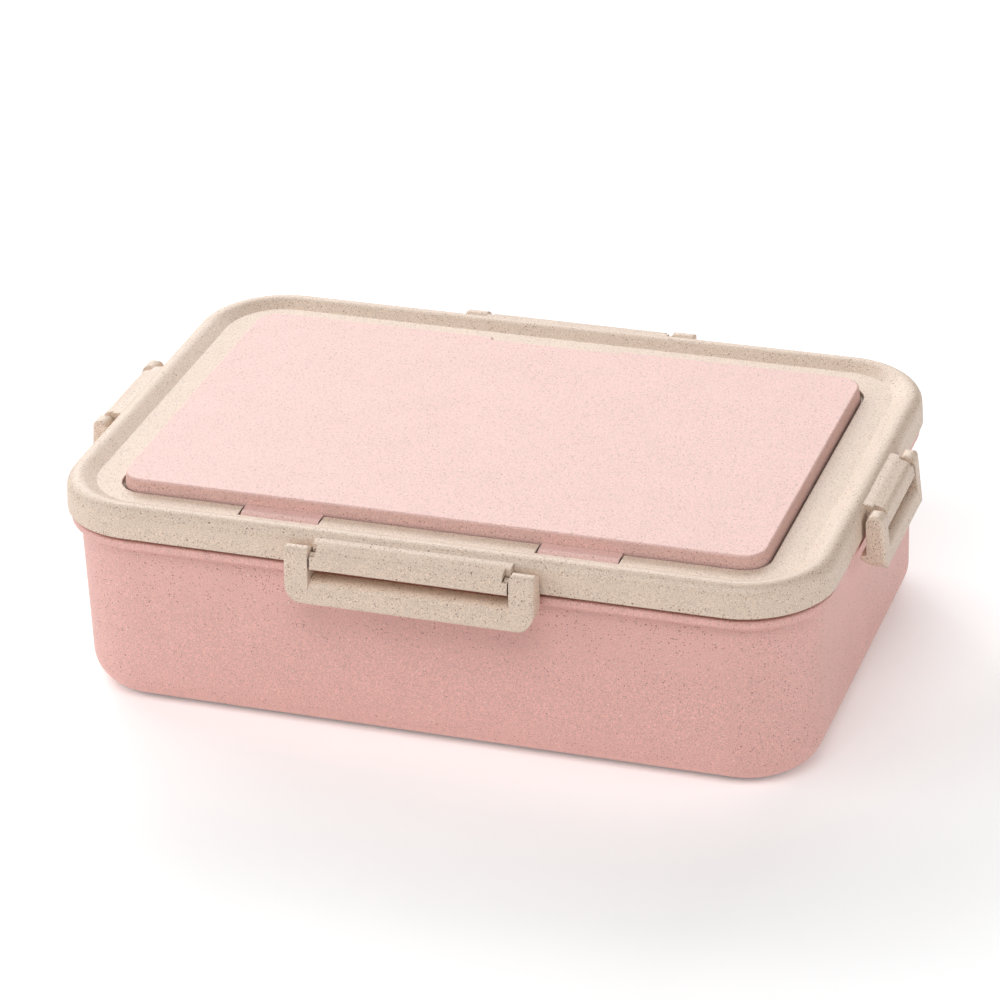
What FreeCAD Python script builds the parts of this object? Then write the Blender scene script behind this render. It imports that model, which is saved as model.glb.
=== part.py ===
import FreeCAD, Part
import math
import os

# Bento lunch box, in millimetres.
# +X runs along its length, -Y is the side where the cutlery cover is hinged, and +Z is up.
# The origin is on the table, under the middle of the box.
#
# Most sections are drawn as (inset, height) points. The inset is measured inwards from the
# lid's outline, so that one section runs all the way round the rounded rectangle. The hinge
# bars and latches use (reach, height) points, with the reach measured outwards from it.

# Lid outline, shared by the lid, its seal and the tub.
OUTLINE_LENGTH = 230.0
OUTLINE_DEPTH = 150.0
OUTLINE_RADIUS = 26.2

# Tub.
TUB_FOOT_INSET = 3.9
TUB_RIM_INSET = 3.5
TUB_RIM_TOP = 62.3
TUB_WALL = 2.2
TUB_FLOOR = 2.4
TUB_FOOT_FILLET = 10.0
FLANGE_INSET = 1.0
FLANGE_TOP = 56.2
FLANGE_BOTTOM = 53.5
FLANGE_ROOT_DROP = 1.6
FLANGE_ROUND = 0.7

# Loose T-shaped divider and the rails that hold its ends.
DIVIDER_X = 22.0
DIVIDER_TOP = 43.0
DIVIDER_THICKNESS = 1.8
DIVIDER_CLEARANCE = 0.4
RAIL_GAP = 0.25
RAIL_WIDTH = 1.4
RAIL_REACH = 2.6
RAIL_TOP = 38.0
RAIL_BOTTOM = 11.0

# Lid skirt, rim, recess and seal channel.
SKIRT_BOTTOM = 57.6
SKIRT_WALL = 1.8
RIM_INSET = 4.0
RIM_RADIUS = 3.7
RIM_CENTRE_HEIGHT = 63.2
RIM_SLOPE_ANGLE = 28.0
RIM_FOOT_INSET = 9.1
RECESS_TOP = 64.7
RECESS_THICKNESS = 1.8
RECESS_LAP_INSET = 12.0
SEAL_RIB_OUTER_INSET = 7.8
SEAL_RIB_INNER_INSET = 9.3
SEAL_RIB_BOTTOM = 59.6
CHANNEL_TOP = 64.9
CHANNEL_CHAMFER = 1.4

# Silicone seal in the channel.
SEAL_BOTTOM = 62.6
SEAL_CLEARANCE = 0.3

# Cover opening, the ledge that the cover rests on, and the cutlery well below it.
COVER_MIDDLE_Y = -1.5
OPENING_HALF_LENGTH = 97.4
OPENING_HALF_DEPTH = 58.6
OPENING_RADIUS = 8.2
LEDGE_TOP = 63.1
WELL_HALF_LENGTH = 92.0
WELL_HALF_DEPTH = 53.0
WELL_RADIUS = 9.0
WELL_FLOOR = 48.0
WELL_WALL = 1.6
WELL_FLOOR_FILLET = 3.0

# Cutlery cover.
COVER_TOP = 68.3
COVER_BOTTOM = 63.2
COVER_TOP_HALF_LENGTH = 95.8
COVER_TOP_HALF_DEPTH = 57.1
COVER_TOP_RADIUS = 6.6
COVER_DRAFT = 0.7
COVER_WALL = 1.9
COVER_EDGE_ROUND = 0.7
FINGER_NOTCH_LENGTH = 42.0
FINGER_NOTCH_DEPTH = 1.5
FINGER_NOTCH_CORNER = 0.8

# Cover hinge, the same at both lugs.
COVER_HINGE_Y = -62.6
COVER_HINGE_Z = 63.1
LUG_CENTRE_X = 44.5
LUG_LENGTH = 23.6
LUG_RADIUS = 1.7
LUG_THICKNESS = 1.6
LUG_END_GAP = 0.5
STUB_RADIUS = 0.85
STUB_BORE_RADIUS = 0.93
STUB_LENGTH = 2.2
POCKET_FRONT_Y = -65.2
POCKET_FLOOR = 61.0
POCKET_WALL = 1.6
POCKET_END_WALL = 4.2

# Hinge bars for the latches: (reach, height, corner radius) round the section.
BAR_SECTION = (
    (-2.6, 65.9, 0),
    (0.9, 65.5, 4.0),
    (5.3, 63.9, 2.4),
    (6.1, 59.1, 0.3),
    (-0.9, 59.1, 0),
    (-0.9, 63.2, 0),
)
LATCH_AXIS = (3.3, 61.9)
TRUNNION_RADIUS = 1.35
TRUNNION_BORE_RADIUS = 1.47
TRUNNION_LENGTH = 1.8
TRUNNION_END_GAP = 0.3

# Snap-in slot above each trunnion: (reach, height). It is open on top and leaves a low lip in front.
SNAP_SLOT = (
    (2.2, 61.9),
    (2.2, 63.1),
    (1.2, 67.0),
    (8.0, 67.0),
    (8.0, 62.7),
    (4.35, 62.7),
    (4.35, 61.9),
)

# Latches: a long pair on the front and back, a short pair on the left and right.
LONG_LATCH_LENGTH = 74.2
LONG_ARM_WIDTH = 7.4
LONG_CORNER_RADIUS = 7.2
SHORT_LATCH_LENGTH = 43.6
SHORT_ARM_WIDTH = 5.2
SHORT_CORNER_RADIUS = 3.5
LATCH_SIDE_GAP = 0.45
ARM_SECTION = (
    (0.95, 62.4, 0),
    (0.95, 64.9, 2.3),
    (5.7, 64.9, 2.3),
    (7.4, 47.9, 1.2),
    (2.8, 48.9, 6.0),
    (-0.6, 50.9, 0.4),
    (-0.6, 52.1, 0.4),
    (1.2, 52.4, 0.6),
)
BAR_OF_LATCH_SECTION = (
    (1.2, 55.8, 0),
    (6.7, 54.9, 3.0),
    (7.4, 47.9, 1.2),
    (2.8, 48.9, 6.0),
    (-0.6, 50.9, 0.4),
    (-0.6, 52.1, 0.4),
    (1.2, 52.4, 0),
)
LATCH_BOTTOM = 47.9
LATCH_CROTCH = 56.6
LATCH_TOP = 64.9
LATCH_TOP_REACH = 5.7
LATCH_BOTTOM_REACH = 7.4
LATCH_BACK_REACH = -6.0
ARM_TOP_CORNER_RADIUS = 1.0
LATCH_EDGE_RADIUS = 1.3

# Cutlery, lying in the well on a low saddle rib.
CUTLERY_GAP = 0.05
CUTLERY_LENGTH = 170.0
CUTLERY_THICKNESS = 2.2
CUTLERY_Y = 24.0
HANDLE_HEIGHT = 4.4
HANDLE_END_HALF_WIDTH = 7.5
NECK_HALF_WIDTH = 3.6
NECK_OVERLAP = 4.0
HEAD_LENGTH = 56.0
SPOON_HALF_WIDTH = 18.0
SPOON_WALL = 1.5
FORK_HALF_WIDTH = 13.0
FORK_TINE_LENGTH = 34.0
FORK_TINE_COUNT = 4
FORK_SLOT_WIDTH = 3.4
FORK_TIP_TAPER = 1.5
FORK_ROOT_LENGTH = 6.5
FORK_SHOULDER_SETBACK = 7.8
FORK_SHOULDER_HALF_WIDTH = 8.1
SADDLE_X = -52.0
SADDLE_WIDTH = 3.0
SADDLE_HALF_LENGTH = 46.0

# Directions, how far a cutting shape runs past what it cuts, and the tolerance for picking edges.
UP = FreeCAD.Vector(0, 0, 1)
ALONG_X = FreeCAD.Vector(1, 0, 0)
ALONG_Y = FreeCAD.Vector(0, 1, 0)
ORIGIN = FreeCAD.Vector(0, 0, 0)
OVERCUT = 1.0
NEAR = 0.01
HALF_LENGTH = OUTLINE_LENGTH / 2
HALF_DEPTH = OUTLINE_DEPTH / 2


# ---------------------------------------------------------------- shared helpers

def rounded_outline(half_length, half_depth, radius, height, middle_y=0.0):
    """Closed wire of a rectangle with round corners, level at the height."""
    edges = []
    arcs = []
    for sign_x, sign_y, start in ((1, 1, 0), (-1, 1, 90), (-1, -1, 180), (1, -1, 270)):
        centre_x = sign_x * (half_length - radius)
        centre_y = middle_y + sign_y * (half_depth - radius)
        centre = FreeCAD.Vector(centre_x, centre_y, height)
        arcs.append(Part.makeCircle(radius, centre, UP, start, start + 90))
    for corner in range(4):
        following = arcs[(corner + 1) % 4]
        arc_end = arcs[corner].valueAt(arcs[corner].LastParameter)
        next_start = following.valueAt(following.FirstParameter)
        edges.append(arcs[corner])
        edges.append(Part.makeLine(arc_end, next_start))
    return Part.Wire(edges)


def inset_outline(inset, height):
    """The lid's outline moved inwards by the inset."""
    return rounded_outline(HALF_LENGTH - inset, HALF_DEPTH - inset, OUTLINE_RADIUS - inset, height)


def prism(wire, height):
    """Upright solid on the wire."""
    return Part.Face(wire).extrude(UP * height)


def loft(lower_wire, upper_wire):
    """Straight-sided solid between two wires."""
    return Part.makeLoft([lower_wire, upper_wire], True, True)


def box_between(low, high):
    """Box from its lowest corner to its highest."""
    sizes = [high[axis] - low[axis] for axis in range(3)]
    return Part.makeBox(sizes[0], sizes[1], sizes[2], FreeCAD.Vector(*low))


def section_face(start, steps, place):
    """Face from a closed path. A step is one point for a line, or two points for an arc.

    place turns a drawn point into its position in space.
    """
    edges = []
    here = start
    for step in steps:
        if isinstance(step[0], tuple):
            middle, end = step
            edges.append(Part.Arc(place(here), place(middle), place(end)).toShape())
        else:
            end = step
            edges.append(Part.makeLine(place(here), place(end)))
        here = end
    edges.append(Part.makeLine(place(here), place(start)))
    return Part.Face(Part.Wire(edges))


def corner_steps(corners):
    """Steps for section_face from (first, second, radius) corners, each rounded by its radius.

    The first corner is the path's start and stays sharp.
    """
    steps = []
    for index in range(1, len(corners)):
        before = FreeCAD.Vector(corners[index - 1][0], corners[index - 1][1], 0)
        here = FreeCAD.Vector(corners[index][0], corners[index][1], 0)
        following = corners[(index + 1) % len(corners)]
        after = FreeCAD.Vector(following[0], following[1], 0)
        radius = corners[index][2]
        if radius == 0:
            steps.append((here.x, here.y))
            continue
        back = (before - here).normalize()
        ahead = (after - here).normalize()
        half_angle = back.getAngle(ahead) / 2
        run = radius / math.tan(half_angle)
        arc_start = here + back * run
        arc_end = here + ahead * run
        bisector = (back + ahead).normalize()
        arc_middle = here + bisector * (radius / math.sin(half_angle) - radius)
        steps.append((arc_start.x, arc_start.y))
        steps.append(((arc_middle.x, arc_middle.y), (arc_end.x, arc_end.y)))
    return steps


def polar(centre, radius, degrees):
    """Point on a circle, with the angle counted from the first axis."""
    angle = math.radians(degrees)
    return (centre[0] + radius * math.cos(angle), centre[1] + radius * math.sin(angle))


def ring(start, steps):
    """Solid that carries one (inset, height) section all the way round the outline."""
    straight_x = HALF_LENGTH - OUTLINE_RADIUS
    straight_y = HALF_DEPTH - OUTLINE_RADIUS

    def place(point):
        return FreeCAD.Vector(HALF_LENGTH - point[0], 0, point[1])

    face = section_face(start, steps, place)
    end_half = face.extrude(ALONG_Y * straight_y)
    face.translate(ALONG_Y * straight_y)
    pivot = FreeCAD.Vector(straight_x, straight_y, 0)
    corner = face.revolve(pivot, UP, 90)
    face.rotate(pivot, UP, 90)
    side_half = face.extrude(ALONG_X * -straight_x)
    quarter = end_half.fuse([corner, side_half])
    half = quarter.fuse(quarter.mirror(ORIGIN, ALONG_X))
    return half.fuse(half.mirror(ORIGIN, ALONG_Y)).removeSplitter()


def edges_where(shape, test):
    """The edges whose every vertex passes the test."""
    return [edge for edge in shape.Edges if all(test(vertex.Point) for vertex in edge.Vertexes)]


def around(shape, turn):
    """A copy turned about the box's upright centre line, in degrees."""
    copy = shape.copy()
    copy.rotate(ORIGIN, UP, turn)
    return copy


def export(name, shape):
    """Write one sub-part."""
    shape.exportStep(os.path.join("parts", name + ".step"))


# ---------------------------------------------------------------- tub and divider

def tub_inner_space(clearance):
    """The room inside the tub, shrunk by the clearance."""
    lower = inset_outline(TUB_FOOT_INSET + TUB_WALL + clearance, TUB_FLOOR + clearance)
    upper = inset_outline(TUB_RIM_INSET + TUB_WALL + clearance, TUB_RIM_TOP + OVERCUT)
    space = loft(lower, upper)
    floor_edges = edges_where(space, lambda point: point.z < TUB_FLOOR + clearance + NEAR)
    return space.makeFillet(TUB_FOOT_FILLET - TUB_WALL, floor_edges)


def tub_shell():
    """Drafted pan with a rounded foot, before it is hollowed."""
    shell = loft(inset_outline(TUB_FOOT_INSET, 0), inset_outline(TUB_RIM_INSET, TUB_RIM_TOP))
    foot_edges = edges_where(shell, lambda point: point.z < NEAR)
    return shell.makeFillet(TUB_FOOT_FILLET, foot_edges)


def tub_flange():
    """Lip under the lid's skirt, with round outer edges and a slanted underside."""
    root = TUB_RIM_INSET + TUB_WALL / 2
    inner = FLANGE_INSET + FLANGE_ROUND
    lower_centre = (inner, FLANGE_BOTTOM + FLANGE_ROUND)
    upper_centre = (inner, FLANGE_TOP - FLANGE_ROUND)
    return ring(
        (root, FLANGE_BOTTOM - FLANGE_ROOT_DROP),
        [
            (TUB_RIM_INSET, FLANGE_BOTTOM - FLANGE_ROOT_DROP),
            (inner, FLANGE_BOTTOM),
            (polar(lower_centre, FLANGE_ROUND, 225), polar(lower_centre, FLANGE_ROUND, 180)),
            polar(upper_centre, FLANGE_ROUND, 180),
            (polar(upper_centre, FLANGE_ROUND, 135), polar(upper_centre, FLANGE_ROUND, 90)),
            (root, FLANGE_TOP),
        ],
    )


def rail_pairs():
    """Rails on the walls, one pair for each end of the divider."""
    reach_x = HALF_LENGTH - TUB_RIM_INSET - TUB_WALL - RAIL_REACH
    reach_y = HALF_DEPTH - TUB_RIM_INSET - TUB_WALL - RAIL_REACH
    near = DIVIDER_THICKNESS / 2 + RAIL_GAP
    rails = []
    for side in (-1, 1):
        low, high = sorted((side * near, side * (near + RAIL_WIDTH)))
        rails.append(box_between((reach_x, low, RAIL_BOTTOM), (HALF_LENGTH, high, RAIL_TOP)))
        back_low = (DIVIDER_X + low, reach_y, RAIL_BOTTOM)
        back_rail = box_between(back_low, (DIVIDER_X + high, HALF_DEPTH, RAIL_TOP))
        rails.append(back_rail)
        rails.append(back_rail.mirror(ORIGIN, ALONG_Y))
    return rails


def make_tub():
    """Food container with its flange, its sealing rim and the divider's rails."""
    shell = tub_shell()
    hollow = shell.cut(tub_inner_space(0))
    rails = [rail.common(shell) for rail in rail_pairs()]
    return hollow.fuse([tub_flange()] + rails).removeSplitter()


def make_divider():
    """Loose T-shaped divider that follows the tub's walls and floor."""
    half = DIVIDER_THICKNESS / 2
    across_low = (DIVIDER_X - half, -HALF_DEPTH, 0)
    across = box_between(across_low, (DIVIDER_X + half, HALF_DEPTH, DIVIDER_TOP))
    along = box_between((DIVIDER_X, -half, 0), (HALF_LENGTH, half, DIVIDER_TOP))
    return across.fuse(along).common(tub_inner_space(DIVIDER_CLEARANCE)).removeSplitter()


# ---------------------------------------------------------------- lid and seal

def rim_point(degrees_from_crest):
    """Point on the lid's rounded rim, turned inwards from its crest."""
    return polar((RIM_INSET, RIM_CENTRE_HEIGHT), RIM_RADIUS, 90 - degrees_from_crest)


def lid_rim():
    """Skirt, rounded rim, seal channel and the outer strip of the recess."""
    recess_bottom = RECESS_TOP - RECESS_THICKNESS
    return ring(
        (0.0, SKIRT_BOTTOM),
        [
            rim_point(-90),
            (rim_point(-45), rim_point(RIM_SLOPE_ANGLE)),
            (RIM_FOOT_INSET, RECESS_TOP),
            (RECESS_LAP_INSET, RECESS_TOP),
            (RECESS_LAP_INSET, recess_bottom),
            (SEAL_RIB_INNER_INSET, recess_bottom),
            (SEAL_RIB_INNER_INSET, SEAL_RIB_BOTTOM),
            (SEAL_RIB_OUTER_INSET, SEAL_RIB_BOTTOM),
            (SEAL_RIB_OUTER_INSET, CHANNEL_TOP - CHANNEL_CHAMFER),
            (SEAL_RIB_OUTER_INSET - CHANNEL_CHAMFER, CHANNEL_TOP),
            (SKIRT_WALL + CHANNEL_CHAMFER, CHANNEL_TOP),
            (SKIRT_WALL, CHANNEL_TOP - CHANNEL_CHAMFER),
            (SKIRT_WALL, SKIRT_BOTTOM),
        ],
    )


def make_lid_seal():
    """Silicone ring in the channel, just above the tub's rim."""
    outer = SKIRT_WALL + SEAL_CLEARANCE
    inner = SEAL_RIB_OUTER_INSET - SEAL_CLEARANCE
    top = CHANNEL_TOP - SEAL_CLEARANCE
    shoulder = top - CHANNEL_CHAMFER
    return ring(
        (outer, SEAL_BOTTOM),
        [
            (outer, shoulder),
            (outer + CHANNEL_CHAMFER, top),
            (inner - CHANNEL_CHAMFER, top),
            (inner, shoulder),
            (inner, SEAL_BOTTOM),
        ],
    )


def opening_outline(extra, height):
    """Outline of the opening that the cover sits in, made larger by the extra."""
    return rounded_outline(
        OPENING_HALF_LENGTH + extra,
        OPENING_HALF_DEPTH + extra,
        OPENING_RADIUS + extra,
        height,
        COVER_MIDDLE_Y,
    )


def well_space(extra, floor, top):
    """Room of the cutlery well, made larger by the extra, with a rounded floor."""
    outline = rounded_outline(
        WELL_HALF_LENGTH + extra,
        WELL_HALF_DEPTH + extra,
        WELL_RADIUS + extra,
        floor,
        COVER_MIDDLE_Y,
    )
    space = prism(outline, top - floor)
    floor_edges = edges_where(space, lambda point: point.z < floor + NEAR)
    return space.makeFillet(WELL_FLOOR_FILLET + extra, floor_edges)


def cutlery_saddle():
    """Low rib across the well's floor, under the cutlery's handles."""
    half = SADDLE_WIDTH / 2
    root = WELL_FLOOR - WELL_WALL / 2
    return box_between(
        (SADDLE_X - half, COVER_MIDDLE_Y - SADDLE_HALF_LENGTH, root),
        (SADDLE_X + half, COVER_MIDDLE_Y + SADDLE_HALF_LENGTH, WELL_FLOOR + HANDLE_HEIGHT),
    )


def lid_pan():
    """Recess floor, ledge and cutlery well in one piece."""
    recess_bottom = RECESS_TOP - RECESS_THICKNESS
    ledge_bottom = LEDGE_TOP - WELL_WALL
    recess = prism(inset_outline(RECESS_LAP_INSET - OVERCUT, recess_bottom), RECESS_THICKNESS)
    ledge = prism(opening_outline(WELL_WALL, ledge_bottom), RECESS_TOP - ledge_bottom)
    well = well_space(WELL_WALL, WELL_FLOOR - WELL_WALL, LEDGE_TOP)
    opening = prism(opening_outline(0, LEDGE_TOP), RECESS_TOP - LEDGE_TOP + OVERCUT)
    pan = recess.fuse([ledge, well]).cut(opening)
    return pan.cut(well_space(0, WELL_FLOOR, RECESS_TOP + OVERCUT)).fuse(cutlery_saddle())


def hinge_pocket_block(centre_x):
    """Solid round one of the cover's hinge pockets."""
    half = LUG_LENGTH / 2 + LUG_END_GAP + POCKET_END_WALL
    front = -HALF_DEPTH + SEAL_RIB_INNER_INSET
    return box_between(
        (centre_x - half, front, POCKET_FLOOR - POCKET_WALL),
        (centre_x + half, COVER_MIDDLE_Y - OPENING_HALF_DEPTH, RECESS_TOP),
    )


def hinge_pocket_space(centre_x):
    """Room for one lug, with the bores for its stubs."""
    half = LUG_LENGTH / 2 + LUG_END_GAP
    opening_edge = COVER_MIDDLE_Y - OPENING_HALF_DEPTH
    pocket = box_between(
        (centre_x - half, POCKET_FRONT_Y, POCKET_FLOOR),
        (centre_x + half, opening_edge, LEDGE_TOP),
    )
    above = box_between(
        (centre_x - half, POCKET_FRONT_Y, LEDGE_TOP),
        (centre_x + half, opening_edge + OVERCUT, RECESS_TOP + OVERCUT),
    )
    bore_start = FreeCAD.Vector(centre_x - half - STUB_LENGTH, COVER_HINGE_Y, COVER_HINGE_Z)
    bore = Part.makeCylinder(STUB_BORE_RADIUS, 2 * (half + STUB_LENGTH), bore_start, ALONG_X)
    return pocket.fuse([above, bore])


def front_place(half_depth, across):
    """Placement of (reach, height) points on the front side, at a distance along it."""
    def place(point):
        return FreeCAD.Vector(across, -half_depth - point[0], point[1])
    return place


def bar_end_cut(half_depth, half_length, side):
    """Trunnion bore and snap-in slot at one end of a hinge bar."""
    depth = TRUNNION_LENGTH - LATCH_SIDE_GAP + TRUNNION_END_GAP
    inner_x = side * (half_length - depth)
    outwards = ALONG_X * side
    centre = FreeCAD.Vector(inner_x, -half_depth - LATCH_AXIS[0], LATCH_AXIS[1])
    bore = Part.makeCylinder(TRUNNION_BORE_RADIUS, depth + OVERCUT, centre, outwards)
    slot = section_face(SNAP_SLOT[0], SNAP_SLOT[1:], front_place(half_depth, inner_x))
    return bore.fuse(slot.extrude(outwards * (depth + OVERCUT)))


def hinge_bar(half_depth, latch_length, arm_width):
    """Bar that a latch hangs on, drawn on the front side, with slots at its ends."""
    half_length = latch_length / 2 - arm_width - LATCH_SIDE_GAP
    start = BAR_SECTION[0][:2]
    face = section_face(start, corner_steps(BAR_SECTION), front_place(half_depth, -half_length))
    bar = face.extrude(ALONG_X * (2 * half_length))
    for side in (-1, 1):
        bar = bar.cut(bar_end_cut(half_depth, half_length, side))
    return bar


def make_lid():
    """Lid with its rim, recess, cutlery well, hinge pockets and four hinge bars."""
    long_bar = hinge_bar(HALF_DEPTH, LONG_LATCH_LENGTH, LONG_ARM_WIDTH)
    short_bar = hinge_bar(HALF_LENGTH, SHORT_LATCH_LENGTH, SHORT_ARM_WIDTH)
    bars = [long_bar, around(long_bar, 180), around(short_bar, 90), around(short_bar, -90)]
    blocks = [hinge_pocket_block(side * LUG_CENTRE_X) for side in (-1, 1)]
    spaces = [hinge_pocket_space(side * LUG_CENTRE_X) for side in (-1, 1)]
    return lid_rim().fuse([lid_pan()] + blocks + bars).cut(spaces).removeSplitter()


# ---------------------------------------------------------------- cutlery cover

def cover_outline(extra, height):
    """Outline of the cover's top face, made larger by the extra."""
    return rounded_outline(
        COVER_TOP_HALF_LENGTH + extra,
        COVER_TOP_HALF_DEPTH + extra,
        COVER_TOP_RADIUS + extra,
        height,
        COVER_MIDDLE_Y,
    )


def finger_notch():
    """Shallow bite out of the cover's back edge."""
    half = FINGER_NOTCH_LENGTH / 2
    back = COVER_MIDDLE_Y + COVER_TOP_HALF_DEPTH
    notch_floor = back - FINGER_NOTCH_DEPTH
    slope_end = back + COVER_DRAFT + OVERCUT
    beyond = slope_end + OVERCUT

    def place(point):
        return FreeCAD.Vector(point[0], point[1], COVER_BOTTOM - OVERCUT)

    path = [
        (-half + FINGER_NOTCH_CORNER, notch_floor),
        (half - FINGER_NOTCH_CORNER, notch_floor),
        (half, slope_end),
        (half, beyond),
        (-half, beyond),
    ]
    height = COVER_TOP - COVER_BOTTOM + 2 * OVERCUT
    return section_face((-half, slope_end), path, place).extrude(UP * height)


def lug(centre_x):
    """One hinge lug of the cover, with a round front end and a stub at each side."""
    half = LUG_LENGTH / 2
    front_wall = COVER_MIDDLE_Y - COVER_TOP_HALF_DEPTH + COVER_WALL / 2
    top = COVER_HINGE_Z + LUG_RADIUS
    plate = box_between(
        (centre_x - half, COVER_HINGE_Y, top - LUG_THICKNESS),
        (centre_x + half, front_wall, top),
    )
    start = FreeCAD.Vector(centre_x - half, COVER_HINGE_Y, COVER_HINGE_Z)
    barrel = Part.makeCylinder(LUG_RADIUS, LUG_LENGTH, start, ALONG_X)
    stub_start = start - ALONG_X * STUB_LENGTH
    stubs = Part.makeCylinder(STUB_RADIUS, LUG_LENGTH + 2 * STUB_LENGTH, stub_start, ALONG_X)
    return plate.fuse([barrel, stubs])


def make_cutlery_cover():
    """Inverted tray with rounded top edges, two hinge lugs and a finger notch."""
    notch = finger_notch()
    outside = loft(cover_outline(COVER_DRAFT, COVER_BOTTOM), cover_outline(0, COVER_TOP)).cut(notch)
    top_edges = edges_where(outside, lambda point: point.z > COVER_TOP - NEAR)
    outside = outside.makeFillet(COVER_EDGE_ROUND, top_edges)
    hollow_top = COVER_TOP - COVER_WALL
    hollow = prism(cover_outline(-COVER_WALL - FINGER_NOTCH_DEPTH, COVER_BOTTOM), hollow_top - COVER_BOTTOM)
    lugs = [lug(side * LUG_CENTRE_X) for side in (-1, 1)]
    return outside.cut(hollow).fuse(lugs).removeSplitter()


# ---------------------------------------------------------------- latches

def latch_section(corners, half_depth, across):
    """Face of an arm's or a bar's side view, at a distance along the front side."""
    return section_face(corners[0][:2], corner_steps(corners), front_place(half_depth, across))


def latch_front_outline(half_depth, half_length, inner, corner_radius):
    """Block with the latch's U-shaped outline seen from the front, with round corners."""
    corners = (
        (0, LATCH_BOTTOM, 0),
        (half_length, LATCH_BOTTOM, corner_radius),
        (half_length, LATCH_TOP, ARM_TOP_CORNER_RADIUS),
        (inner, LATCH_TOP, ARM_TOP_CORNER_RADIUS),
        (inner, LATCH_CROTCH, 0),
        (-inner, LATCH_CROTCH, 0),
        (-inner, LATCH_TOP, ARM_TOP_CORNER_RADIUS),
        (-half_length, LATCH_TOP, ARM_TOP_CORNER_RADIUS),
        (-half_length, LATCH_BOTTOM, corner_radius),
    )

    def place(point):
        return FreeCAD.Vector(point[0], -half_depth + OUTLINE_RADIUS, point[1])

    face = section_face((0, LATCH_BOTTOM), corner_steps(corners), place)
    return face.extrude(ALONG_Y * -2 * OUTLINE_RADIUS)


def latch_plan_outline(half_depth, half_length):
    """Block along the latch's sloping front face, with round upright edges at the front."""
    corners = (
        (0, LATCH_TOP_REACH, 0),
        (half_length, LATCH_TOP_REACH, LATCH_EDGE_RADIUS),
        (half_length, LATCH_BACK_REACH, 0),
        (-half_length, LATCH_BACK_REACH, 0),
        (-half_length, LATCH_TOP_REACH, LATCH_EDGE_RADIUS),
    )
    slope = FreeCAD.Vector(0, LATCH_TOP_REACH - LATCH_BOTTOM_REACH, LATCH_BOTTOM - LATCH_TOP)

    def place(point):
        return FreeCAD.Vector(point[0], -half_depth - point[1], LATCH_TOP)

    return section_face((0, LATCH_TOP_REACH), corner_steps(corners), place).extrude(slope)


def make_latch(half_depth, latch_length, arm_width, corner_radius):
    """U-shaped latch on the front side: two arms with trunnions, and a hooked bar."""
    half_length = latch_length / 2
    inner = half_length - arm_width
    arm = latch_section(ARM_SECTION, half_depth, inner).extrude(ALONG_X * arm_width)
    bar = latch_section(BAR_OF_LATCH_SECTION, half_depth, -inner).extrude(ALONG_X * (2 * inner))
    body = bar.fuse([arm, arm.mirror(ORIGIN, ALONG_X)]).removeSplitter()
    body = body.common(latch_front_outline(half_depth, half_length, inner, corner_radius))
    body = body.common(latch_plan_outline(half_depth, half_length))
    trunnions = []
    for side in (-1, 1):
        root = FreeCAD.Vector(side * (inner + OVERCUT), -half_depth - LATCH_AXIS[0], LATCH_AXIS[1])
        length = TRUNNION_LENGTH + OVERCUT
        trunnions.append(Part.makeCylinder(TRUNNION_RADIUS, length, root, ALONG_X * -side))
    return body.fuse(trunnions).removeSplitter()


# ---------------------------------------------------------------- cutlery

def cutlery_band(depth):
    """Handle and curved head of a spoon or fork, drawn from the side and made this deep."""
    rest = WELL_FLOOR + CUTLERY_GAP
    low = rest + HANDLE_HEIGHT
    high = low + CUTLERY_THICKNESS
    start_x = -CUTLERY_LENGTH / 2
    tip_x = CUTLERY_LENGTH / 2
    neck_x = tip_x - HEAD_LENGTH
    middle_x = (neck_x + tip_x) / 2

    def place(point):
        return FreeCAD.Vector(point[0], -depth / 2, point[1])

    steps = [
        (neck_x, low),
        ((middle_x, rest), (tip_x, low)),
        (tip_x, high),
        ((middle_x, rest + CUTLERY_THICKNESS), (neck_x, high)),
        (start_x, high),
    ]
    return section_face((start_x, low), steps, place).extrude(ALONG_Y * depth)


def plan_block(start, steps):
    """Upright block through the cutlery's whole height, drawn from above."""
    def place(point):
        return FreeCAD.Vector(point[0], point[1], WELL_FLOOR)

    return section_face(start, steps, place).extrude(UP * (HANDLE_HEIGHT + 2 * CUTLERY_THICKNESS))


def handle_plan():
    """Handle that widens from the neck to a round end."""
    start_x = -CUTLERY_LENGTH / 2
    neck_x = CUTLERY_LENGTH / 2 - HEAD_LENGTH + NECK_OVERLAP
    wide = HANDLE_END_HALF_WIDTH
    steps = [
        ((start_x, 0), (start_x + wide, wide)),
        (neck_x, NECK_HALF_WIDTH),
        (neck_x, -NECK_HALF_WIDTH),
    ]
    return plan_block((start_x + wide, -wide), steps)


def make_spoon():
    """Spoon with a dished oval bowl."""
    rim = WELL_FLOOR + CUTLERY_GAP + HANDLE_HEIGHT + CUTLERY_THICKNESS
    bowl_x = (CUTLERY_LENGTH - HEAD_LENGTH) / 2
    bowl_depth = HANDLE_HEIGHT + CUTLERY_THICKNESS
    bowl = ellipsoid(HEAD_LENGTH / 2, SPOON_HALF_WIDTH, bowl_depth)
    dish = ellipsoid(HEAD_LENGTH / 2 - SPOON_WALL, SPOON_HALF_WIDTH - SPOON_WALL, bowl_depth - SPOON_WALL)
    top_half = box_between((-HEAD_LENGTH, -HEAD_LENGTH, 0), (HEAD_LENGTH, HEAD_LENGTH, HEAD_LENGTH))
    bowl = bowl.cut(top_half)
    bowl.translate(FreeCAD.Vector(bowl_x, 0, rim))
    dish.translate(FreeCAD.Vector(bowl_x, 0, rim))
    handle = cutlery_band(4 * HANDLE_END_HALF_WIDTH).common(handle_plan())
    return handle.fuse(bowl).cut(dish).removeSplitter()


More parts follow.
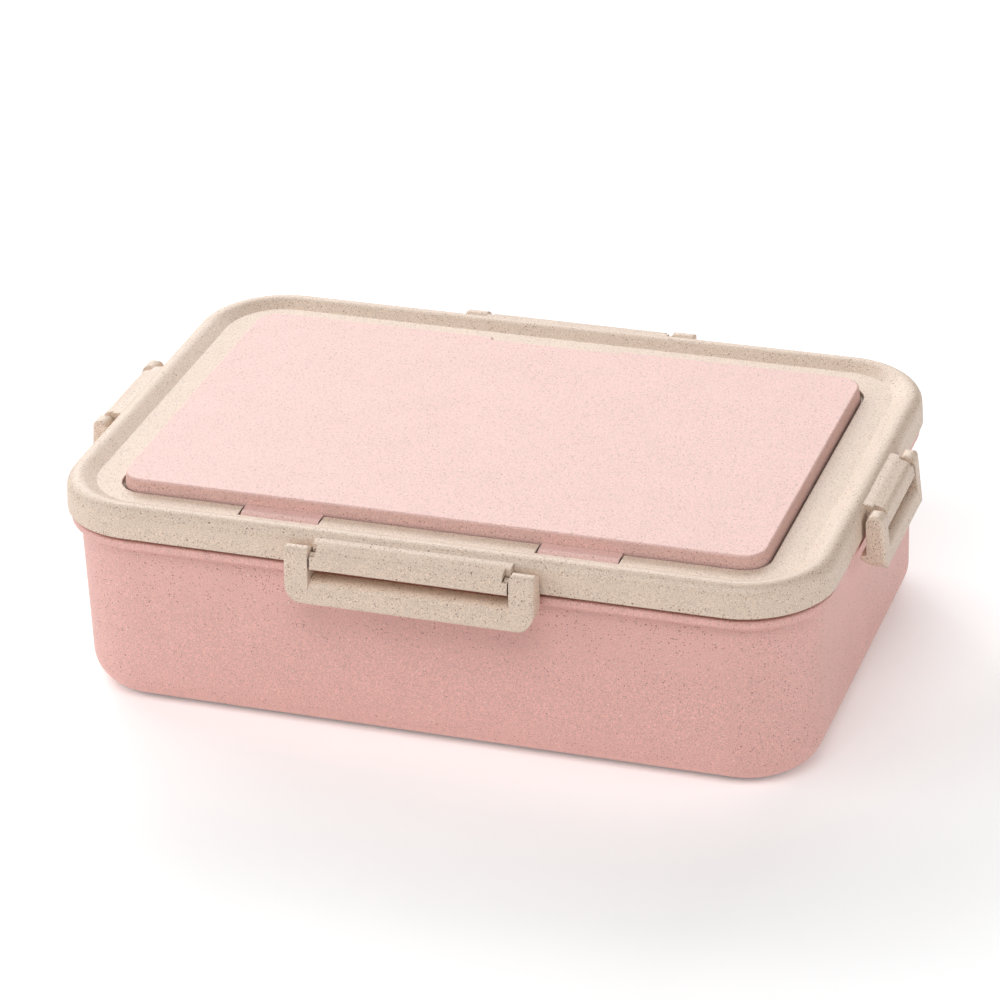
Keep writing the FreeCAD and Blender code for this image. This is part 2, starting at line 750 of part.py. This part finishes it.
def ellipsoid(radius_x, radius_y, radius_z):
    """Ellipsoid round the origin."""
    scale = FreeCAD.Matrix()
    scale.scale(radius_x, radius_y, radius_z)
    return Part.makeSphere(1).transformGeometry(scale)


def make_fork():
    """Fork with a curved head and straight slots between its tines."""
    tip_x = CUTLERY_LENGTH / 2
    neck_x = tip_x - HEAD_LENGTH
    wide = FORK_HALF_WIDTH
    shoulder_x = tip_x - FORK_TINE_LENGTH - FORK_ROOT_LENGTH
    bend_x = shoulder_x - FORK_SHOULDER_SETBACK
    steps = [
        ((bend_x, FORK_SHOULDER_HALF_WIDTH), (shoulder_x, wide)),
        (tip_x, wide - FORK_TIP_TAPER),
        (tip_x, -wide + FORK_TIP_TAPER),
        (shoulder_x, -wide),
        ((bend_x, -FORK_SHOULDER_HALF_WIDTH), (neck_x, -NECK_HALF_WIDTH)),
    ]
    head = plan_block((neck_x, NECK_HALF_WIDTH), steps)
    fork = cutlery_band(4 * FORK_HALF_WIDTH).common(head.fuse(handle_plan()))
    pitch = 2 * wide / FORK_TINE_COUNT
    for slot in range(1, FORK_TINE_COUNT):
        middle_y = -wide + slot * pitch
        low = (tip_x - FORK_TINE_LENGTH, middle_y - FORK_SLOT_WIDTH / 2, 0)
        high = (tip_x + OVERCUT, middle_y + FORK_SLOT_WIDTH / 2, COVER_TOP)
        fork = fork.cut(box_between(low, high))
    return fork.removeSplitter()


if __name__ == "__main__":
    os.makedirs("parts", exist_ok=True)
    export("tub", make_tub())
    export("divider", make_divider())
    export("lid", make_lid())
    export("lid_seal", make_lid_seal())
    export("cutlery_cover", make_cutlery_cover())
    long_latch = make_latch(HALF_DEPTH, LONG_LATCH_LENGTH, LONG_ARM_WIDTH, LONG_CORNER_RADIUS)
    short_latch = make_latch(HALF_LENGTH, SHORT_LATCH_LENGTH, SHORT_ARM_WIDTH, SHORT_CORNER_RADIUS)
    export("latch_front", long_latch)
    export("latch_back", around(long_latch, 180))
    export("latch_right", around(short_latch, 90))
    export("latch_left", around(short_latch, -90))
    spoon = make_spoon()
    spoon.translate(FreeCAD.Vector(0, COVER_MIDDLE_Y + CUTLERY_Y, 0))
    export("spoon", spoon)
    fork = make_fork()
    fork.translate(FreeCAD.Vector(0, COVER_MIDDLE_Y - CUTLERY_Y, 0))
    export("fork", fork)
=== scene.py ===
import math

import bpy
from mathutils import Matrix, Vector


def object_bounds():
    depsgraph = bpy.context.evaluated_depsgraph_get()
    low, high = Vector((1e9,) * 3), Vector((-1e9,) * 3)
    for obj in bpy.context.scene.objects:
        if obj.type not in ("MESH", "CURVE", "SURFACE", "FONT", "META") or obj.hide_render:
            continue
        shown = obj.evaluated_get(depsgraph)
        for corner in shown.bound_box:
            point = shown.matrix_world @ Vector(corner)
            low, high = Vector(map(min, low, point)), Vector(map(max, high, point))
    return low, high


# Looks, camera and light for a lunch box in speckled wheat-straw plastic, in metres.
# Every piece is a CAD node that keeps its shape: this script gives each one its material.

# Camera: the angles are in degrees, and the aim is measured from the middle of the box.
CAMERA_AZIMUTH = 19.72
CAMERA_ELEVATION = 28.07
CAMERA_ROLL = -2.4
CAMERA_DISTANCE = 1.2404
CAMERA_AIM = Vector((-0.0066, 0.0167, -0.0004))
CAMERA_NEAREST = 0.01
LENS_MM = 148.4

# Plastic colours, as 0-255 screen values.
PINK = (233, 178, 168)
# The cover's pink is the tub's pink made paler: painted sheen, standing in for the light that the cover's
# top reflects.
COVER_PINK_WITH_PAINTED_SHEEN = (238, 195, 186)
BEIGE = (228, 205, 185)
STRAW_PALE = (250, 240, 226)
SILICONE_WHITE = (236, 233, 226)
FLOOR_WHITE = (250, 250, 250)

# Straw specks are this share of the plastic's red, green and blue.
STRAW_TINT = (0.36, 0.19, 0.14)

# Straw specks: size of the cell that one speck may lie in, its largest radius, the share of
# cells that hold one, and how much it hides the plastic.
FINE_SPECK = {"cell": 0.0007, "radius": 0.00025, "share": 0.7, "strength": 1.0}
SPARSE_SPECK = {"cell": 0.0017, "radius": 0.0003, "share": 0.5, "strength": 1.0}
BOLD_SPECK = {"cell": 0.0015, "radius": 0.00035, "share": 0.75, "strength": 1.0}
FIBRE_SPECK = {"cell": 0.0024, "radius": 0.00028, "share": 0.4, "strength": 0.6}
PALE_SPECK = {"cell": 0.0011, "radius": 0.0003, "share": 0.5, "strength": 0.5}

# The smallest and the faintest speck of a kind, as shares of its radius and its strength; how
# far fibres are drawn out; and how steeply a speck fades in from its edge.
SMALLEST_SPECK = 0.4
FAINTEST_SPECK = 1 / 3
FIBRE_STRETCH = 2.2
SPECK_EDGE = 4.0

# How the layers of pale specks and of fibres are turned, so that they don't line up.
PALE_TURN = (0.4, 0.9, 0.2)
FIBRE_TURNS = ((0.7, 0.3, 0.5), (1.8, 1.2, 1.8))

# Surface of the plastic: sizes in metres. The mottle's darkest colour is a share of the plain
# colour, and the grain makes the colour lighter and darker by its contrast.
MOTTLE_SIZE = 0.014
MOTTLE_DARKEST = 0.95
GRAIN_SIZE = 0.0003
GRAIN_HEIGHT = 0.00004
GRAIN_STRENGTH = 0.4
PINK_GRAIN = 0.27
BEIGE_GRAIN = 0.3
SATIN_ROUGHNESS = (0.44, 0.56)
SATIN_SHINE = 1.0
PLASTIC_IOR = 1.5
EDGE_RADIUS = 0.00035

# Rays that the shader sends out to find nearby edges and gaps.
PROBE_RAYS = 4

# Narrow gaps: how far the gap's far side may be, the openness at which the shade is full and
# at which it ends, and how much of the colour is left in full shade.
CREVICE_REACH = 0.0015
CREVICE_OPENNESS = (0.2, 0.46)
CREVICE_SHADE = 0.04

# Silicone of the seal.
BLOOM_SIZE = 0.004
BLOOM_DARKEST = 0.9
SILICONE_ROUGHNESS = (0.42, 0.6)
SILICONE_GRAIN_STRENGTH = 0.2
SILICONE_TRANSLUCENCE = 0.3
SILICONE_DEPTH = 0.002

# Paper of the studio floor.
PAPER_FIBRE_SIZE = 0.05
PAPER_DARKEST = 0.985
PAPER_ROUGHNESS = 0.9
PAPER_SHINE = 0.1

# Sockets of a Mix node that mixes colours, and the values that most of a noise lies between.
MIX_FIRST = 6
MIX_SECOND = 7
MIX_RESULT = 2
NOISE_SPREAD = (0.3, 0.7)

# Studio: distances and widths in metres, angles in degrees as for the camera. Each softbox has
# its azimuth, elevation, distance, width, height and the brightness of its surface.
FLOOR_HALF_WIDTH = 6.0
FLOOR_GLOW = 0.2
SOFTBOXES = {
    "low_back_softbox": (195, 20, 2.4, 2.2, 0.8, 1.2),
    "high_back_softbox": (195, 35, 2.4, 2.2, 0.8, 4.2),
    "back_left_softbox": (235, 30, 2.4, 1.6, 1.2, 4.1),
    "front_softbox": (10, 57, 2.4, 1.8, 1.2, 3.95),
    "left_softbox": (-60, 25, 2.4, 1.6, 1.2, 3.0),
    "right_softbox": (85, 25, 2.4, 1.6, 1.2, 2.1),
}


def linear(colour):
    """Scene colour of a 0-255 screen colour, by the sRGB curve."""
    channels = []
    for value in colour:
        share = value / 255
        channels.append(share / 12.92 if share <= 0.04045 else ((share + 0.055) / 1.055) ** 2.4)
    return (*channels, 1.0)


def tinted(base, tint):
    """Scene colour with its red, green and blue multiplied by the tint's."""
    red, green, blue = (channel * share for channel, share in zip(base, tint))
    return (red, green, blue, 1.0)


def direction(azimuth, elevation):
    """Unit vector from the box towards a place round it, from angles in degrees."""
    turn = math.radians(azimuth)
    rise = math.radians(elevation)
    return Vector((math.sin(turn) * math.cos(rise), -math.cos(turn) * math.cos(rise), math.sin(rise)))


# ---------------------------------------------------------------- node helpers

class Nodes:
    """Short calls for building one material's node tree."""

    def __init__(self, name):
        self.material = bpy.data.materials.new(name)
        self.material.use_nodes = True
        self.tree = self.material.node_tree
        self.tree.nodes.clear()
        self.shader = self.add("ShaderNodeBsdfPrincipled")
        output = self.add("ShaderNodeOutputMaterial")
        self.tree.links.new(self.shader.outputs["BSDF"], output.inputs["Surface"])

    def add(self, kind, inputs=None, **settings):
        node = self.tree.nodes.new(kind)
        for key, value in settings.items():
            setattr(node, key, value)
        for key, value in (inputs or {}).items():
            self.put(node.inputs[key], value)
        return node

    def put(self, socket, value):
        if isinstance(value, bpy.types.NodeSocket):
            self.tree.links.new(value, socket)
        else:
            socket.default_value = value

    def math(self, operation, first, second=0.0, clamp=False):
        node = self.add("ShaderNodeMath", {0: first, 1: second}, operation=operation, use_clamp=clamp)
        return node.outputs[0]

    def mix(self, share, first, second):
        node = self.add("ShaderNodeMix", data_type="RGBA")
        self.put(node.inputs["Factor"], share)
        self.put(node.inputs[MIX_FIRST], first)
        self.put(node.inputs[MIX_SECOND], second)
        return node.outputs[MIX_RESULT]

    def coordinates(self, turn=(0, 0, 0), stretch=(1, 1, 1)):
        source = self.add("ShaderNodeTexCoord").outputs["Object"]
        mapping = self.add("ShaderNodeMapping", {"Vector": source, "Rotation": turn, "Scale": stretch})
        return mapping.outputs[0]

    def noise(self, size, detail=2.0, roughness=0.5):
        inputs = {
            "Vector": self.coordinates(),
            "Scale": 1 / size,
            "Detail": detail,
            "Roughness": roughness,
        }
        return self.add("ShaderNodeTexNoise", inputs).outputs["Fac"]

    def remap(self, value, old_range, new_range):
        inputs = {
            "Value": value,
            "From Min": old_range[0],
            "From Max": old_range[1],
            "To Min": new_range[0],
            "To Max": new_range[1],
        }
        return self.add("ShaderNodeMapRange", inputs, clamp=True).outputs[0]


def specks(nodes, speck, turn=(0, 0, 0), stretch=(1, 1, 1)):
    """How much of a straw speck covers each point, from 0 to 1."""
    where = nodes.coordinates(turn, stretch)
    cells = nodes.add("ShaderNodeTexVoronoi", {"Vector": where, "Scale": 1 / speck["cell"]})
    random = nodes.add("ShaderNodeSeparateColor", {"Color": cells.outputs["Color"]})
    biggest = speck["radius"] / speck["cell"]
    present = nodes.math("GREATER_THAN", random.outputs[0], 1 - speck["share"])
    radius = nodes.remap(random.outputs[1], (0, 1), (SMALLEST_SPECK * biggest, biggest))
    depth = nodes.math("SUBTRACT", radius, cells.outputs["Distance"])
    cover = nodes.math("MULTIPLY", depth, SPECK_EDGE / biggest, clamp=True)
    tone = nodes.remap(random.outputs[2], (0, 1), (FAINTEST_SPECK * speck["strength"], speck["strength"]))
    return nodes.math("MULTIPLY", nodes.math("MULTIPLY", cover, tone), present)


def soft_edges(nodes, height, strength):
    """Shading of the surface: slightly rounded edges with a fine grain on top."""
    rounded = nodes.add("ShaderNodeBevel", {"Radius": EDGE_RADIUS}, samples=PROBE_RAYS)
    inputs = {
        "Height": height,
        "Strength": strength,
        "Distance": GRAIN_HEIGHT,
        "Normal": rounded.outputs[0],
    }
    bump = nodes.add("ShaderNodeBump", inputs)
    nodes.put(nodes.shader.inputs["Normal"], bump.outputs[0])


def crevice_shade(nodes):
    """Factor that darkens narrow gaps, where little light gets in."""
    reach = {"Distance": CREVICE_REACH}
    openness = nodes.add("ShaderNodeAmbientOcclusion", reach, samples=PROBE_RAYS)
    return nodes.remap(openness.outputs["AO"], CREVICE_OPENNESS, (CREVICE_SHADE, 1))


# ---------------------------------------------------------------- materials

def wheat_straw(name, colour, grain_contrast, large_speck):
    """Moulded plastic with straw powder: mottled, with fine brown and pale specks and fibres."""
    nodes = Nodes(name)
    base = linear(colour)
    brown = tinted(base, STRAW_TINT)
    mottle = nodes.remap(nodes.noise(MOTTLE_SIZE, detail=4.0, roughness=0.6), NOISE_SPREAD, (0, 1))
    paint = nodes.mix(mottle, tinted(base, [MOTTLE_DARKEST] * 3), base)
    paint = nodes.mix(specks(nodes, PALE_SPECK, PALE_TURN), paint, linear(STRAW_PALE))
    for speck in (FINE_SPECK, large_speck):
        paint = nodes.mix(specks(nodes, speck), paint, brown)
    for turn in FIBRE_TURNS:
        stretch = (1 / FIBRE_STRETCH, 1.0, 1.0)
        paint = nodes.mix(specks(nodes, FIBRE_SPECK, turn, stretch), paint, brown)
    grain = nodes.noise(GRAIN_SIZE, detail=3.0)
    grain_shade = nodes.remap(grain, NOISE_SPREAD, (1 - grain_contrast, 1 + grain_contrast))
    shade = nodes.math("MULTIPLY", grain_shade, crevice_shade(nodes))
    nodes.put(nodes.shader.inputs["Base Color"], scaled(nodes, paint, shade))
    nodes.put(nodes.shader.inputs["Roughness"], nodes.remap(grain, NOISE_SPREAD, SATIN_ROUGHNESS))
    nodes.shader.inputs["IOR"].default_value = PLASTIC_IOR
    nodes.shader.inputs["Specular IOR Level"].default_value = SATIN_SHINE
    soft_edges(nodes, grain, GRAIN_STRENGTH)
    return nodes.material


def scaled(nodes, paint, shade):
    """The colour made lighter or darker by a factor."""
    node = nodes.add("ShaderNodeVectorMath", {0: paint}, operation="SCALE")
    nodes.put(node.inputs["Scale"], shade)
    return node.outputs[0]


def silicone():
    """Soft milky rubber of the seal, with a faint powdery bloom."""
    nodes = Nodes("silicone")
    base = linear(SILICONE_WHITE)
    bloom = nodes.noise(BLOOM_SIZE, detail=4.0, roughness=0.65)
    paint = nodes.mix(bloom, tinted(base, [BLOOM_DARKEST] * 3), base)
    nodes.put(nodes.shader.inputs["Base Color"], paint)
    nodes.put(nodes.shader.inputs["Roughness"], nodes.remap(bloom, NOISE_SPREAD, SILICONE_ROUGHNESS))
    nodes.shader.inputs["Subsurface Weight"].default_value = SILICONE_TRANSLUCENCE
    nodes.shader.inputs["Subsurface Scale"].default_value = SILICONE_DEPTH
    soft_edges(nodes, nodes.noise(GRAIN_SIZE, detail=2.0), SILICONE_GRAIN_STRENGTH)
    return nodes.material


def studio_paper():
    """Matte white paper of the studio floor, with a hardly visible fibre and a weak glow."""
    nodes = Nodes("studio_paper")
    base = linear(FLOOR_WHITE)
    fibre = nodes.noise(PAPER_FIBRE_SIZE, detail=5.0, roughness=0.6)
    paint = nodes.mix(fibre, tinted(base, [PAPER_DARKEST] * 3), base)
    nodes.put(nodes.shader.inputs["Base Color"], paint)
    nodes.shader.inputs["Roughness"].default_value = PAPER_ROUGHNESS
    nodes.shader.inputs["Specular IOR Level"].default_value = PAPER_SHINE
    nodes.shader.inputs["Emission Color"].default_value = base
    nodes.shader.inputs["Emission Strength"].default_value = FLOOR_GLOW
    return nodes.material


def dress(names, material):
    """Put one material on CAD nodes."""
    for name in names:
        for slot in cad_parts[name].material_slots:
            slot.material = material


# ---------------------------------------------------------------- studio

def add_floor():
    """Wide pale floor at the height that the box stands on."""
    half = FLOOR_HALF_WIDTH
    mesh = bpy.data.meshes.new("studio_floor")
    corners = [(-half, -half, 0), (half, -half, 0), (half, half, 0), (-half, half, 0)]
    mesh.from_pydata(corners, [], [(0, 1, 2, 3)])
    mesh.materials.append(studio_paper())
    floor = bpy.data.objects.new("studio_floor", mesh)
    bpy.context.scene.collection.objects.link(floor)


def add_softbox(name, azimuth, elevation, distance, width, height, radiance):
    """Soft light that faces the box. The radiance is the brightness of its surface."""
    light = bpy.data.lights.new(name, "AREA")
    light.shape = "RECTANGLE"
    light.size = width
    light.size_y = height
    light.energy = radiance * math.pi * width * height
    softbox = bpy.data.objects.new(name, light)
    away = direction(azimuth, elevation)
    softbox.location = away * distance
    softbox.rotation_mode = "QUATERNION"
    softbox.rotation_quaternion = away.to_track_quat("Z", "Y")
    softbox.visible_camera = False
    bpy.context.scene.collection.objects.link(softbox)


def darken_surroundings():
    """No light except the softboxes and the floor's glow."""
    world = bpy.data.worlds.new("studio_world")
    world.use_nodes = True
    world.node_tree.nodes["Background"].inputs["Strength"].default_value = 0
    bpy.context.scene.world = world


def add_camera():
    """Camera in front of the box, a little to its right and above it."""
    back = direction(CAMERA_AZIMUTH, CAMERA_ELEVATION)
    level = Vector((0, 0, 1)).cross(back).normalized()
    upright = back.cross(level)
    tilt = math.radians(CAMERA_ROLL)
    right = level * math.cos(tilt) + upright * math.sin(tilt)
    up = back.cross(right)
    camera = bpy.data.objects.new("camera", bpy.data.cameras.new("camera"))
    camera.data.lens = LENS_MM
    camera.data.clip_start = CAMERA_NEAREST
    centre = (cad_low + cad_high) / 2
    camera.matrix_world = Matrix((right, up, back)).transposed().to_4x4()
    camera.location = centre + CAMERA_AIM + back * CAMERA_DISTANCE
    bpy.context.scene.collection.objects.link(camera)
    bpy.context.scene.camera = camera


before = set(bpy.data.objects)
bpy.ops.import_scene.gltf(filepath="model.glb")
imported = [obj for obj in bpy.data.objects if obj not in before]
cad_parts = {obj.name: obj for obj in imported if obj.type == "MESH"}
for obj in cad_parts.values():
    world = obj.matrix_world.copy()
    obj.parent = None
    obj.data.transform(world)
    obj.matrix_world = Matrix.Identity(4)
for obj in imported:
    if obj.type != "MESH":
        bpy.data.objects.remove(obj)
cad_low, cad_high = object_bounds()

pink_plastic = wheat_straw("pink_wheat_straw", PINK, PINK_GRAIN, SPARSE_SPECK)
dress(["tub", "divider"], pink_plastic)
# The cover gets the tub's pink made paler, as painted sheen.
cover_plastic_with_painted_sheen = wheat_straw("pink_wheat_straw_with_painted_sheen", COVER_PINK_WITH_PAINTED_SHEEN, PINK_GRAIN, SPARSE_SPECK)
dress(["cutlery_cover"], cover_plastic_with_painted_sheen)
beige_plastic = wheat_straw("beige_wheat_straw", BEIGE, BEIGE_GRAIN, BOLD_SPECK)
dress(["lid", "spoon", "fork"], beige_plastic)
dress(["latch_front", "latch_back", "latch_left", "latch_right"], beige_plastic)
dress(["lid_seal"], silicone())

add_floor()
darken_surroundings()
for softbox, values in SOFTBOXES.items():
    add_softbox(softbox, *values)
add_camera()

bpy.context.scene.view_settings.view_transform = "Standard"
